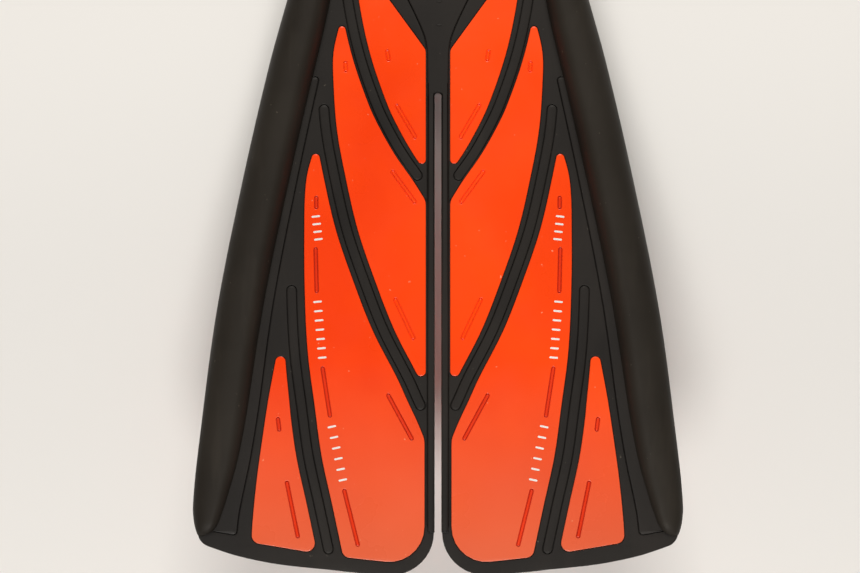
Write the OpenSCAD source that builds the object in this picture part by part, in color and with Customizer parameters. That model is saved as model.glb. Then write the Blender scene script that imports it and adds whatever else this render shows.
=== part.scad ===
// Split-blade swim fin with an open heel: two flexing blade halves between tapered
// side rails, a foot pocket on a hard sole, and a heel strap on two quick buckles.
// +Y runs from the blade's tip to the heel and +Z is up. The rails and the treads
// stand on z = 0, and the origin is in the middle of the footprint.

/* [Blade] */
// Width of the blade over both rails
blade_w = 230; // [210:1:250]
// Length of the blade from its tip to the toe of the foot pocket
blade_len = 300; // [280:1:330]
// Thickness of the rubber web
web_t = 5; // [4:0.1:6.5]
// Width of the slot between the two halves
slot_w = 3.8; // [2.5:0.1:5]
// Length of the slot from the tip
slot_len = 227; // [215:1:232]
// Width of the lip along the slot
lip_w = 3; // [2.4:0.1:3.6]
// Rubber left between a panel and the batten beside it
strip_w = 3; // [2:0.1:4]
// Rubber left between a panel and the lip or the rail's flange
edge_strip = 1.4; // [1:0.1:2.4]

/* [Rails] */
// Width of a rail at its widest
rail_w = 22; // [18:0.5:25]
// Height of a rail at its highest
rail_h = 28; // [24:0.5:32]
// Thickness of the flange strip beside a rail
flange_t = 6.4; // [5.6:0.1:8]

/* [Panels and battens] */
// Depth that a panel lies below the face of the web
panel_sink = 0.3; // [0:0.1:0.8]
// Radius of a panel's corners
panel_corner = 3; // [1.5:0.1:4]
// Radius of the main panel's corner beside the slot
main_corner = 16; // [8:1:22]
// Width of a batten
batten_w = 4.2; // [3:0.1:5.4]
// Height that a batten stands above the web
batten_proud = 0.4; // [0.2:0.1:1]
// Width of a raised rib on a panel
rib_w = 1.5; // [1:0.1:2.4]
// Height of a raised rib
rib_proud = 0.6; // [0.3:0.1:1.2]

/* [Keel] */
// Thickness of the keel plate
keel_t = 7; // [6:0.1:9]
// Width of the keel plate at the toe of the pocket
keel_w = 60; // [44:1:64]

/* [Sole and foot pocket] */
// Length of the sole from the toe to the heel end
sole_len = 265; // [250:1:290]
// Outside width of the foot pocket at its widest
pocket_w = 100; // [92:1:102]
// Height of the instep above the sole
pocket_h = 84; // [70:1:96]
// Thickness of the pocket's wall
pocket_wall = 4; // [3:0.1:5]
// Thickness of the treads under the sole
tread_t = 3; // [2:0.1:5]
// Thickness of the sole plate
sole_t = 5; // [4:0.1:6]
// Thickness of the footbed
footbed_t = 3; // [2:0.1:5]
// Width of a drain slot
drain_w = 5; // [3:0.1:7]

/* [Strap posts] */
// Distance from the toe to the strap posts
post_from_toe = 155; // [140:1:165]
// Height of the strap posts above the ground
post_z = 45; // [40:1:52]
// Radius of a strap post
post_r = 6; // [5:0.1:7]
// Thickness of a side arm at its boss
arm_t = 5.5; // [4.5:0.1:7]

/* [Strap and buckles] */
// Width of the heel strap
strap_w = 25; // [20:0.5:28]
// Thickness of the heel strap
strap_t = 3; // [2.4:0.1:3.6]
// Distance from the strap posts to the back of the heel loop
loop_reach = 151; // [140:1:165]
// Thickness of the heel pad
pad_t = 4; // [3:0.1:6]
// Thickness of a buckle frame at its eye
eye_t = 6.5; // [5.5:0.1:8]
// Thickness of a buckle's cheek
cheek_t = 3; // [2.4:0.1:4]
// Radius of the bar that the strap bends round
bar_r = 2.5; // [2:0.1:3.2]
// Radius of a lever's pin
pin_r = 1.6; // [1.2:0.1:2]
// Radius of the finger hole in the pull tab
finger_r = 11; // [9:0.5:13]
// Thickness of the pull tab
tab_t = 4; // [3:0.1:6]

/* [Fits] */
// Clearance between the faces of the flexing halves and the root
flex_gap = 0.4; // [0.3:0.05:0.6]
// Gap between bonded pieces
bond_gap = 0.1; // [0.05:0.05:0.2]
// Gap between pieces that move past each other
run_gap = 0.3; // [0.25:0.05:0.5]
// Radial clearance of a pin in its bore
pin_gap = 0.05; // [0.02:0.01:0.08]

/* [Hidden] */

rubber = "#2c2825";
hard_black = "#1c1b1a";
orange = "#f6501a";
steel = "silver";

// The outlines below are drawn as [distance from the tip, distance from the middle] on a
// blade of this width and length, and stretch with it.
drawn_w = 230;
drawn_len = 300;
stretch_x = blade_w / drawn_w;
stretch_y = blade_len / drawn_len;

rail_line = [[18, 113.4], [32, 115], [70, 111.5], [125, 104], [185, 92], [240, 79.3],
    [270, 71], [300, 62.5], [332, 58.5]];
rail_share = [[18, 0.4], [30, 0.6], [52, 0.84], [85, 0.98], [120, 1], [240, 1], [270, 0.93],
    [300, 0.73], [332, 0.6]];
rail_rise = [[18, 0.45], [60, 0.62], [120, 0.85], [180, 1], [260, 1], [300, 0.97], [332, 0.95]];
flange_share = [[18, 9.9], [45, 7], [80, 5], [130, 4.1], [235, 3]];
tip_line = [[0, 24], [0.8, 36], [2.4, 51], [5, 75], [8.6, 93], [13, 104], [17.5, 110]];
inner_line = [[174, 1], [186, 8.5], [197.4, 16.5], [209.2, 23.3], [221, 28.9], [244.4, 36.9], [268, 42],
    [296, 45.5]];
middle_line = [[62, 0.5], [72, 4.6], [82, 9.3], [92, 13.8], [115, 25.6], [139, 35], [162, 42.8],
    [186, 48.4], [209, 52.6], [232, 54.3], [246, 54.2], [262, 50.5]];
outer_line = [[10, 51], [33, 55.9], [56, 60.9], [80, 64.2], [103, 67.2], [127, 68.6],
    [160, 69], [186, 68], [203, 63.5]];
keel_line = [[237, 0], [249, 0.02], [256, 0.1], [270, 0.36], [285, 0.68], [300, 1]];

// Where the panels, battens and flange begin and end along the drawn blade
inner_batten_ends = [190, 290];
middle_batten_ends = [81, 221];
outer_batten_ends = [10, 136];
inner_panel_ends = [193, 294];
inner_shoulder = 250;
second_panel_ends = [91, 260];
main_panel_ends = [7, 203];
outer_panel_ends = [14, 109];
outer_panel_reach = 87.5;
flange_end = 234;

// Raised ribs as [x, y, x, y] on the drawn blade, by panel
inner_ribs = [[19.3, 220.5, 10.8, 206], [23.8, 246, 23.2, 242.5]];
second_ribs = [[43.5, 244, 43.5, 240], [21.2, 189.4, 11, 175.5], [20, 129.3, 11.6, 111.5]];
main_ribs = [[57.2, 177.2, 57.2, 173], [57.5, 153, 57, 133.5], [54.2, 97, 50.8, 75],
    [44, 39.5, 37.7, 14.3], [23.3, 84.3, 12.4, 64.2]];
outer_ribs = [[75.3, 73.8, 74.5, 67.5], [71, 43.3, 65.9, 18.2]];

// Where the treads lie along the sole from the toe, and their grooves
ball_tread_ends = [76, 150];
heel_tread_ends = [210, sole_len - 4];
tread_inset = 7;
groove_pitch = 8;
groove_w = 2;

// Heights
mid_z = rail_h / 2;
sole_z = tread_t + sole_t;

// Corner of the tip beside the slot, and where the lip starts above it
tip_corner = 20;
lip_start = tip_corner + 3;

// Lengths from the tip
toe_y = blade_len;
heel_y = toe_y + sole_len;
tip_y = rail_line[0][0] * stretch_y;
block_end_y = toe_y + 32;
post_y = toe_y + post_from_toe;
flex_y = slot_len - slot_w;
knuckle_r = rail_h / 2;
loop_y = post_y + loop_reach;
overall_len = loop_y + strap_t / 2 + bond_gap + tab_t;

// Value of a smooth line through knots of [place, value]
function span(k, y, i = 0) = (i >= len(k) - 2 || y < k[i + 1][0]) ? i : span(k, y, i + 1);
function slope(k, i) =
    let (a = max(0, i - 1), b = min(len(k) - 1, i + 1))
    (k[b][1] - k[a][1]) / (k[b][0] - k[a][0]);
function along(k, y) =
    let (i = span(k, y), h = k[i + 1][0] - k[i][0], t = max(0, min(1, (y - k[i][0]) / h)))
    k[i][1] * (2 * t ^ 3 - 3 * t ^ 2 + 1) + slope(k, i) * h * (t ^ 3 - 2 * t ^ 2 + t)
    + k[i + 1][1] * (3 * t ^ 2 - 2 * t ^ 3) + slope(k, i + 1) * h * (t ^ 3 - t ^ 2);
function steps(a, b, n) = [for (i = [0:n]) a + (b - a) * i / n];
function turned(pts) = [for (i = [len(pts) - 1:-1:0]) pts[i]];

// Lines of the blade, as distances from the middle at y millimetres from the tip
function on_blade(k, y) = along(k, y / stretch_y) * stretch_x;
function rail_width(y) = rail_w * along(rail_share, y / stretch_y);
function tip_round(y) =
    let (r = 9, d = min(r, max(0, y - tip_y)))
    r * (1 - sqrt(1 - ((r - d) / r) ^ 2));
function rail_out(y) = on_blade(rail_line, y) - tip_round(y);
function rail_in(y) = on_blade(rail_line, y) - rail_width(y);
function rail_half_h(y) = rail_h / 2 * min(1, along(rail_rise, y / stretch_y));
function seam(y) = rail_in(y) - on_blade(flange_share, y);
function keel_half(y) =
    slot_w / 2 + lip_w + (keel_w / 2 - slot_w / 2 - lip_w) * max(0, along(keel_line, y / stretch_y));
panel_x = slot_w / 2 + lip_w + edge_strip;
beside = batten_w / 2 + strip_w;

// ---------- general shapes ----------

// A closed skin over rings that have the same number of points each
module loft(rings) {
    n = len(rings[0]);
    m = len(rings);
    points = [for (r = rings) each r];
    sides = [for (i = [0:m - 2], j = [0:n - 1], k = [0, 1])
        k == 0 ? [i * n + j, i * n + (j + 1) % n, (i + 1) * n + j]
        : [i * n + (j + 1) % n, (i + 1) * n + (j + 1) % n, (i + 1) * n + j]];
    first_cap = [[for (j = [n - 1:-1:0]) j]];
    last_cap = [[for (j = [0:n - 1]) (m - 1) * n + j]];
    polyhedron(points = points, faces = concat(sides, first_cap, last_cap), convexity = 6);
}

// One ring of a rail or an arm, across the fin at y
function oval(x_in, x_out, y, z, half_h, power, count) =
    [for (i = [0:count - 1])
        let (a = 360 * i / count, c = cos(a), s = sin(a))
        [(x_in + x_out) / 2 + (x_out - x_in) / 2 * sign(c) * abs(c) ^ (2 / power), y,
            z + half_h * sign(s) * abs(s) ^ (2 / power)]];

module placed() translate([0, -overall_len / 2, 0]) children();
module mirrored(left) mirror([left ? 1 : 0, 0, 0]) children();
module both_sides() {
    children();
    mirror([1, 0, 0]) children();
}
module slab(z, t) translate([0, 0, z - t / 2]) linear_extrude(t) children();
module rounded(r) offset(r, $fn = 32) offset(-r) children();
module capsule(a, b, w) {
    reach = norm(b - a);
    translate(a) rotate(atan2(b[1] - a[1], b[0] - a[0])) union() {
        circle(d = w, $fn = 24);
        translate([0, -w / 2]) square([reach, w]);
        translate([reach, 0]) circle(d = w, $fn = 24);
    }
}
module along_x(x, y, z, r, t) translate([x, y, z]) rotate([0, 90, 0]) cylinder(r = r, h = t, $fn = 64);

// ---------- the cut that lets the blade halves flex ----------

module knuckle(r) along_x(-blade_w, flex_y, mid_z, r, 2 * blade_w);
module in_half() {
    side_x = keel_half(flex_y) + flex_gap;
    intersection() {
        children();
        union() {
            translate([0, -10, -1]) cube([blade_w, flex_y + 10, rail_h + 2]);
            intersection() {
                knuckle(knuckle_r);
                translate([side_x, flex_y - 5, -1]) cube([blade_w, rail_h, rail_h + 2]);
            }
        }
    }
}
module in_root() {
    difference() {
        intersection() {
            children();
            translate([-blade_w, flex_y, -1]) cube([2 * blade_w, blade_len, rail_h + 2]);
        }
        knuckle(knuckle_r + flex_gap);
    }
}

// ---------- outlines of the blade, right half ----------

module web_outline() {
    beside_lip = slot_w / 2 + lip_w + bond_gap;
    inner = [for (y = turned(steps(lip_start, toe_y, 36)))
        [y > flex_y ? keel_half(y) + bond_gap : beside_lip, y]];
    arc = [for (a = [180:10:270])
        [slot_w / 2 + tip_corner * (1 + cos(a)), tip_corner * (1 + sin(a)) + tip_line[0][0]]];
    corner_end = slot_w / 2 + tip_corner + 1;
    bottom = [for (p = tip_line) [max(corner_end + p[0], p[1] * stretch_x), p[0] * stretch_y]];
    outer = [for (y = steps(tip_y + 1, toe_y, 36)) [rail_in(y) - bond_gap, y]];
    polygon(concat(inner, arc, bottom, outer));
}
module inner_batten_outline(w) {
    rounded(w / 2 - 0.1) strip_between(inner_line, inner_batten_ends, w);
}
module middle_batten_outline(w) {
    rounded(w / 2 - 0.1) strip_between(middle_line, middle_batten_ends, w);
}
module outer_batten_outline(w) {
    rounded(w / 2 - 0.1) strip_between(outer_line, outer_batten_ends, w);
}
// A strip of constant width whose middle follows a line of the blade
module strip_between(k, ends, w) {
    grow = w - batten_w;
    ys = steps(ends[0] * stretch_y - grow / 2, ends[1] * stretch_y + grow / 2, 28);
    tilt = [for (y = ys) atan((on_blade(k, y + 1) - on_blade(k, y - 1)) / 2)];
    right = [for (i = [0:len(ys) - 1])
        [on_blade(k, ys[i]) + w / 2 * cos(tilt[i]), ys[i] - w / 2 * sin(tilt[i])]];
    left = [for (i = [0:len(ys) - 1])
        [on_blade(k, ys[i]) - w / 2 * cos(tilt[i]), ys[i] + w / 2 * sin(tilt[i])]];
    polygon(concat(left, turned(right)));
}
// Between two side lines given as lists of points
module panel_outline(left, right, grow = 0) {
    if (grow > 0) offset(delta = grow) rounded(panel_corner) polygon(concat(left, turned(right)));
    else rounded(panel_corner) polygon(concat(left, turned(right)));
}
module inner_panel_outline(grow = 0) {
    top = inner_panel_ends[1] * stretch_y;
    bottom = inner_panel_ends[0] * stretch_y;
    outer = [for (y = steps(bottom, top, 20)) [max(panel_x, on_blade(inner_line, y) - beside), y]];
    shoulder = inner_shoulder * stretch_y;
    inner = [[panel_x, bottom], [panel_x, shoulder], [outer[20][0] - 1, top]];
    panel_outline(inner, outer, grow);
}
module second_panel_outline(grow = 0) {
    top = second_panel_ends[1] * stretch_y;
    bottom = second_panel_ends[0] * stretch_y;
    outer = [for (y = steps(bottom, top, 24)) [max(panel_x, on_blade(middle_line, y) - beside), y]];
    inner = [for (y = steps(bottom, top, 24))
        [max(panel_x, min(outer[24][0] - 0.5, on_blade(inner_line, y) + beside - strip_w / 2)), y]];
    panel_outline(inner, outer, grow);
}
module main_panel_outline(grow = 0) {
    top = main_panel_ends[1] * stretch_y;
    bottom = main_panel_ends[0] * stretch_y;
    outer = [for (y = steps(bottom, top, 28)) [on_blade(outer_line, y) - beside - strip_w / 3, y]];
    inner = [for (y = steps(bottom + main_corner, top, 28))
        [max(panel_x, min(outer[28][0] - 0.5, on_blade(middle_line, y) + beside)), y]];
    corner = [for (a = [270:-15:180])
        [panel_x + main_corner * (1 + cos(a)), bottom + main_corner * (1 + sin(a))]];
    panel_outline(concat(corner, inner), outer, grow);
}
module outer_panel_outline(grow = 0) {
    top = outer_panel_ends[1] * stretch_y;
    bottom = outer_panel_ends[0] * stretch_y;
    widest = outer_panel_reach * stretch_x;
    outer = [for (y = steps(bottom, top, 20)) [min(widest, seam(y) - edge_strip - strip_w), y]];
    inner = [for (y = steps(bottom - 3, top, 20))
        [min(on_blade(outer_line, y) + beside, seam(y) - edge_strip - strip_w - 0.5), y]];
    panel_outline(inner, outer, grow);
}
module flange_outline(grow = 0) {
    ys = steps(tip_y + 2, flange_end * stretch_y, 30);
    inner = [for (y = ys) [seam(y) - grow, y]];
    outer = [for (y = ys) [rail_in(y) - bond_gap + (grow > 0 ? 3 : 0), y]];
    polygon(concat(inner, turned(outer)));
}
module windows() {
    inner_panel_outline(bond_gap);
    second_panel_outline(bond_gap);
    main_panel_outline(bond_gap);
    outer_panel_outline(bond_gap);
    inner_batten_outline(batten_w + 2 * bond_gap);
    middle_batten_outline(batten_w + 2 * bond_gap);
    outer_batten_outline(batten_w + 2 * bond_gap);
    flange_outline(bond_gap);
}

// ---------- blade pieces, right half ----------

module web_body() slab(mid_z, web_t) difference() {
    web_outline();
    windows();
}
module panel_body(ribs) {
    slab(mid_z, web_t - 2 * panel_sink) children();
    slab(mid_z, web_t - 2 * panel_sink + 2 * rib_proud)
        for (r = ribs)
            capsule([r[0] * stretch_x, r[1] * stretch_y], [r[2] * stretch_x, r[3] * stretch_y], rib_w);
}
module inner_panel_body() panel_body(inner_ribs) inner_panel_outline();
module second_panel_body() panel_body(second_ribs) second_panel_outline();
module batten_body() slab(mid_z, web_t + 2 * batten_proud) children();
module flange_body() slab(mid_z, flange_t) flange_outline();
module rail_body(y0, y1) {
    tip_steps = [for (d = [1, 2, 3.5, 5.5, 8, 12, 18, 26]) tip_y + d];
    ys = concat(y0 < 30 ? tip_steps : [y0], steps(max(y0, tip_y + 26) + 10, y1, 16));
    loft([for (y = ys)
        let (nose = min(1, sqrt(max(0.1, (y - tip_y) / 9))))
        oval(rail_in(y), rail_out(y), y, mid_z, rail_half_h(y) * nose, 2.7, 24)]);
}

module web(left) color(rubber) placed() mirrored(left) in_half() web_body();
module side_rail(left) color(rubber) placed() mirrored(left)
    in_half() rail_body(tip_y, flex_y + knuckle_r + 2);
module flange(left) color(rubber) placed() mirrored(left) in_half() flange_body();
module slot_lip(left) color(rubber) placed() mirrored(left)
    slab(mid_z, web_t) translate([slot_w / 2, lip_start + bond_gap])
        square([lip_w, flex_y - lip_start - 2]);
module inner_panel(left) color(orange) placed() mirrored(left) in_half() inner_panel_body();
module second_panel(left) color(orange) placed() mirrored(left) in_half() second_panel_body();
module main_panel(left) color(orange) placed() mirrored(left)
    panel_body(main_ribs) main_panel_outline();
module outer_panel(left) color(orange) placed() mirrored(left)
    panel_body(outer_ribs) outer_panel_outline();
module inner_batten(left) color(hard_black) placed() mirrored(left)
    in_half() batten_body() inner_batten_outline(batten_w);
module middle_batten(left) color(hard_black) placed() mirrored(left)
    batten_body() middle_batten_outline(batten_w);
module outer_batten(left) color(hard_black) placed() mirrored(left)
    batten_body() outer_batten_outline(batten_w);

// ---------- root of the blade ----------

module blade_root() color(rubber) placed() in_root() both_sides() web_body();
module root_panels() color(orange) placed() in_root() both_sides() {
    inner_panel_body();
    second_panel_body();
}
module root_battens() color(hard_black) placed() in_root() both_sides()
    batten_body() inner_batten_outline(batten_w);
module rail_root(left) color(rubber) placed() mirrored(left)
    difference() {
        rail_body(flex_y, block_end_y);
        knuckle(knuckle_r + flex_gap);
    }
module toe_keel() color(rubber) placed() slab(mid_z, keel_t) {
    ys = steps(slot_len, toe_y, 24);
    side = [for (y = ys) [keel_half(y), y]];
    polygon(concat(side, turned([for (p = side) [-p[0], p[1]]])));
}

// ---------- sole and foot pocket ----------

pocket_line = [[0, 0.2], [5, 0.44], [15, 0.66], [30, 0.84], [50, 0.94], [80, 1], [120, 0.98],
    [160, 0.92], [200, 0.86], [240, 0.8], [270, 0.74]];
pocket_rise = [[0, 0.14], [10, 0.28], [25, 0.42], [50, 0.6], [90, 0.8], [130, 0.96], [160, 1],
    [270, 1]];
drawn_sole = 265;
function pocket_half(y) = pocket_w / 2 * along(pocket_line, (y - toe_y) * drawn_sole / sole_len);
function pocket_top(y) = pocket_h * along(pocket_rise, (y - toe_y) * drawn_sole / sole_len);
pocket_ys = concat([for (d = [0, 3, 7, 12, 18]) toe_y + d], steps(toe_y + 26, heel_y, 16));

function foot_outline(inset, y0) =
    let (ys = [for (y = pocket_ys) if (y >= y0) y],
        side = [for (y = ys) [pocket_half(y) - inset, y]])
    concat(side, turned([for (p = side) [-p[0], p[1]]]));

module drains() {
    for (x = [-1, 0, 1]) for (y = [58, 196])
        translate([x * pocket_w / 5, toe_y + y]) capsule([0, -10], [0, 10], drain_w);
}
module sole_plate() color(hard_black) placed() slab(tread_t + sole_t / 2, sole_t) difference() {
    union() {
        polygon(foot_outline(0, 0));
        polygon(concat([for (y = steps(toe_y - 4, block_end_y, 8)) [rail_in(y) - bond_gap, y]],
            turned([for (y = steps(toe_y - 4, block_end_y, 8)) [bond_gap - rail_in(y), y]])));
    }
    drains();
}
module tread(ends) color(rubber) placed() difference() {
    slab(tread_t / 2, tread_t) rounded(tread_inset - 2) intersection() {
        polygon(foot_outline(tread_inset, 0));
        translate([-pocket_w, toe_y + ends[0]]) square([2 * pocket_w, ends[1] - ends[0]]);
    }
    for (y = [ends[0] + groove_pitch:groove_pitch:ends[1] - groove_pitch / 2 - groove_w])
        translate([-pocket_w, toe_y + y, -0.1]) cube([2 * pocket_w, groove_w, tread_t / 2]);
}
module ball_tread() tread(ball_tread_ends);
module heel_tread() tread(heel_tread_ends);
module footbed() color(rubber) placed() slab(sole_z + footbed_t / 2, footbed_t) difference() {
    polygon(foot_outline(pocket_wall + run_gap, toe_y + 8));
    drains();
}

function arch(y, half, top, base) =
    [for (i = [0:28])
        let (a = 180 * i / 28, c = cos(a), s = sin(a), power = 2.6)
        [half * sign(c) * abs(c) ^ (2 / power), y, base + top * abs(s) ^ (2 / power)]];
module pocket_upper() color(rubber) placed() difference() {
    loft([for (y = pocket_ys) arch(y, pocket_half(y), pocket_top(y), sole_z)]);
    loft([for (y = concat([for (p = pocket_ys) if (p > toe_y + 6) p], [heel_y + 5]))
        let (ring = arch(y, pocket_half(y) - pocket_wall, pocket_top(y) - pocket_wall, sole_z))
        concat([[ring[0][0], y, sole_z - 2]], ring, [[ring[28][0], y, sole_z - 2]])]);
    pocket_mouth();
}
// The space above the mouth of the pocket, whose edge falls from the instep to the heel
module pocket_mouth() {
    top = [toe_y + 136, sole_z + pocket_h + 20];
    a = [toe_y + 150, sole_z + pocket_h * 0.62];
    b = [toe_y + 178, sole_z + pocket_h * 0.3];
    low = [heel_y + 10, sole_z + pocket_h * 0.25];
    edge = [for (t = steps(0, 1, 16))
        top * (1 - t) ^ 3 + 3 * a * t * (1 - t) ^ 2 + 3 * b * t ^ 2 * (1 - t) + low * t ^ 3];
    translate([-pocket_w, 0, 0]) rotate([90, 0, 90]) linear_extrude(2 * pocket_w)
        polygon(concat(edge, [[heel_y + 10, sole_z + pocket_h + 20]]));
}
module toe_block() color(rubber) placed()
    translate([0, 0, sole_z]) linear_extrude(mid_z + keel_t / 2 + 1 - sole_z) difference() {
        polygon(concat([for (y = steps(toe_y + bond_gap, block_end_y, 8)) [rail_in(y) - bond_gap, y]],
            turned([for (y = steps(toe_y + bond_gap, block_end_y, 8)) [bond_gap - rail_in(y), y]])));
        offset(delta = run_gap) polygon(concat(foot_outline(0, 0)));
    }

// ---------- side arms and strap posts ----------

boss_r = post_r + 7;
arm_x = pocket_half(post_y) + run_gap;
boss_x = arm_x + arm_t + 0.7;
module side_arm(left) color(hard_black) placed() mirrored(left) {
    y0 = block_end_y + bond_gap;
    difference() {
        loft([for (t = steps(0, 1, 12))
            let (y = y0 + (post_y - y0) * t, ease = t * t * (3 - 2 * t),
                inner = pocket_half(y) + run_gap,
                wide = (1 - ease) * (rail_out(block_end_y) - inner) + ease * arm_t)
            oval(inner, inner + wide, y, mid_z + (post_z - mid_z) * ease,
                rail_half_h(block_end_y) * (1 - ease) + 9 * ease, 4, 20)]);
        // Room for the buckle's frame as the strap swings forward
        along_x(boss_x, post_y, post_z, norm([frame_half, frame_reach]) + run_gap, arm_t * 4);
    }
    along_x(arm_x, post_y, post_z, boss_r, boss_x - arm_x);
    // The lug that the buckle's lower cheek rests on
    translate([arm_x, post_y + 12, post_z - frame_half - 5 - run_gap])
        cube([boss_x - arm_x + 5, 8, 5]);
    translate([arm_x, post_y, post_z - frame_half - 5 - run_gap])
        cube([arm_t, 20, 10]);
}
head_t = 2;
post_len = eye_t + 2 * run_gap;
module strap_post(left) color(steel) placed() mirrored(left) {
    along_x(boss_x, post_y, post_z, post_r, post_len);
    along_x(boss_x + post_len, post_y, post_z, post_r + 2.5, head_t);
}
module post_screws() color(steel) placed() both_sides() difference() {
    along_x(boss_x + post_len + head_t, post_y, post_z, post_r - 1, 1.2);
    translate([boss_x + post_len + head_t + 0.6, post_y - post_r, post_z - 0.6])
        cube([2, 2 * post_r, 1.2]);
}

// ---------- strap, buckles and levers ----------

eye_x = boss_x + run_gap;
eye_r = post_r + 5;
frame_half = strap_w / 2 + 1 + cheek_t;
bar_y = post_y + 24;
leg = bar_r + run_gap + strap_t / 2;
frame_reach = bar_y - leg - strap_t - 1 - post_y;
bar_x = eye_x + 1 + strap_t / 2 + leg;
tail_x = bar_x + leg;
lever_r = pin_r + 1.7;
tooth = 0.8;
lever_x = tail_x + strap_t / 2 + tooth + run_gap + lever_r;
lever_y = bar_y + 14;

module heel_strap() color(rubber) placed() slab(post_z, strap_w) {
    heel_r = 45;
    heel_c = loop_y - heel_r;
    start = [bar_x - leg, bar_y];
    knee = [bar_x - leg, bar_y + 25];
    end = [heel_r, heel_c];
    side = concat([start], [for (t = steps(0, 1, 14))
        knee * (1 - t) ^ 3 + 3 * (knee + [0, 25]) * t * (1 - t) ^ 2
        + 3 * (end - [0, 25]) * t ^ 2 * (1 - t) + end * t ^ 3]);
    both_sides() {
        band(side, strap_t);
        // Bend round the bar, and the tail that comes back outside it
        translate([bar_x, bar_y]) difference() {
            circle(r = leg + strap_t / 2, $fn = 64);
            circle(r = leg - strap_t / 2, $fn = 64);
            translate([-20, 0]) square([40, 20]);
        }
        translate([tail_x - strap_t / 2, bar_y]) square([strap_t, 48]);
        for (i = [0:6])
            translate([tail_x + strap_t / 2, bar_y + 20 + 4 * i]) circle(r = tooth, $fn = 16);
    }
    translate([0, heel_c]) difference() {
        circle(r = heel_r + strap_t / 2, $fn = 128);
        circle(r = heel_r - strap_t / 2, $fn = 128);
        translate([-60, -60]) square([120, 60]);
    }
}
// A band of even thickness along points that run towards the heel
module band(pts, t) {
    last = len(pts) - 1;
    out = [for (i = [0:last])
        let (d = pts[min(last, i + 1)] - pts[max(0, i - 1)], u = d / norm(d))
        [u[1], -u[0]] * t / 2];
    polygon(concat([for (i = [0:last]) pts[i] + out[i]], turned([for (i = [0:last]) pts[i] - out[i]])));
}
module heel_pad() color(rubber) placed() slab(post_z, strap_w + 8) {
    r = 45 - strap_t / 2 - bond_gap;
    translate([0, loop_y - 45]) difference() {
        circle(r = r, $fn = 128);
        circle(r = r - pad_t, $fn = 128);
        translate([-60, -60]) square([120, 60 + r * 0.35]);
    }
}
module pull_tab() color(rubber) placed() {
    foot_z = post_z - strap_w / 2;
    hole_z = post_z + strap_w / 2 + finger_r + 2;
    translate([0, overall_len, 0]) rotate([90, 0, 0]) linear_extrude(tab_t) difference() {
        union() {
            translate([-finger_r - 5, foot_z]) square([2 * finger_r + 10, hole_z - foot_z]);
            translate([0, hole_z]) circle(r = finger_r + 5, $fn = 96);
        }
        translate([0, hole_z]) circle(r = finger_r, $fn = 96);
    }
}
module buckle_frame(left) color(hard_black) placed() mirrored(left) {
    difference() {
        union() {
            along_x(eye_x, post_y, post_z, eye_r, eye_t);
            translate([eye_x, post_y, post_z - frame_half])
                cube([eye_t, frame_reach, 2 * frame_half]);
        }
        along_x(eye_x - 1, post_y, post_z, post_r + pin_gap, eye_t + 2);
    }
    for (side = [-1, 1])
        translate([0, 0, post_z + side * (frame_half - cheek_t / 2)]) slab(0, cheek_t) difference() {
            union() {
                polygon([[eye_x, post_y + 10], [eye_x + eye_t, post_y + 10],
                    [lever_x + lever_r, lever_y - 8], [lever_x + lever_r, lever_y],
                    [lever_x - 1, lever_y + lever_r], [eye_x, lever_y + 4]]);
                translate([lever_x, lever_y]) circle(r = lever_r, $fn = 32);
            }
            translate([lever_x, lever_y]) circle(r = pin_r + pin_gap, $fn = 32);
        }
    translate([bar_x, bar_y, post_z - frame_half]) cylinder(r = bar_r, h = 2 * frame_half, $fn = 48);
}
module lever_pins() color(steel) placed() both_sides()
    translate([lever_x, lever_y, post_z - frame_half - 0.5])
        cylinder(r = pin_r, h = 2 * frame_half + 1, $fn = 48);
module tension_lever(left) color(hard_black) placed() mirrored(left)
    slab(post_z, strap_w + 2 - 2 * run_gap) difference() {
        union() {
            circle_at([lever_x, lever_y], lever_r);
            polygon([[lever_x - lever_r, lever_y], [lever_x + lever_r, lever_y],
                [lever_x + lever_r + 1, lever_y + 14], [lever_x + lever_r + 5, lever_y + 30],
                [lever_x + lever_r + 2.5, lever_y + 31], [lever_x - lever_r + 1, lever_y + 16]]);
        }
        circle_at([lever_x, lever_y], pin_r + pin_gap);
    }
module circle_at(c, r) translate(c) circle(r = r, $fn = 48);
// A leaf from the frame, round the strap's bend, to the front of the lever
module lever_springs() color(steel) placed() both_sides() slab(post_z, 8) {
    bend = leg + strap_t / 2;
    seat = eye_x + eye_t + bond_gap;
    band([[seat, bar_y - bend - 3.2], [seat + 2, bar_y - bend - 3.2], [bar_x + 4, bar_y - bend - 2],
        [bar_x + bend + 2, bar_y - 3], [lever_x - 1.6, lever_y - lever_r - 2],
        [lever_x - 1, lever_y - lever_r - 0.9]], 0.8);
}

// ---------- drawing ----------

sole_plate();
ball_tread();
heel_tread();
footbed();
pocket_upper();
toe_block();
toe_keel();
blade_root();
root_panels();
root_battens();
rail_root(true);  // left_rail_root
rail_root(false);  // right_rail_root
side_arm(true);  // left_side_arm
side_arm(false);  // right_side_arm
strap_post(true);  // left_strap_post
strap_post(false);  // right_strap_post
post_screws();
web(true);  // left_web
side_rail(true);  // left_side_rail
flange(true);  // left_flange
slot_lip(true);  // left_slot_lip
inner_panel(true);  // left_inner_panel
second_panel(true);  // left_second_panel
main_panel(true);  // left_main_panel
outer_panel(true);  // left_outer_panel
inner_batten(true);  // left_inner_batten
middle_batten(true);  // left_middle_batten
outer_batten(true);  // left_outer_batten
web(false);  // right_web
side_rail(false);  // right_side_rail
flange(false);  // right_flange
slot_lip(false);  // right_slot_lip
inner_panel(false);  // right_inner_panel
second_panel(false);  // right_second_panel
main_panel(false);  // right_main_panel
outer_panel(false);  // right_outer_panel
inner_batten(false);  // right_inner_batten
middle_batten(false);  // right_middle_batten
outer_batten(false);  // right_outer_batten
heel_strap();
heel_pad();
pull_tab();
buckle_frame(true);  // left_buckle_frame
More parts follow.
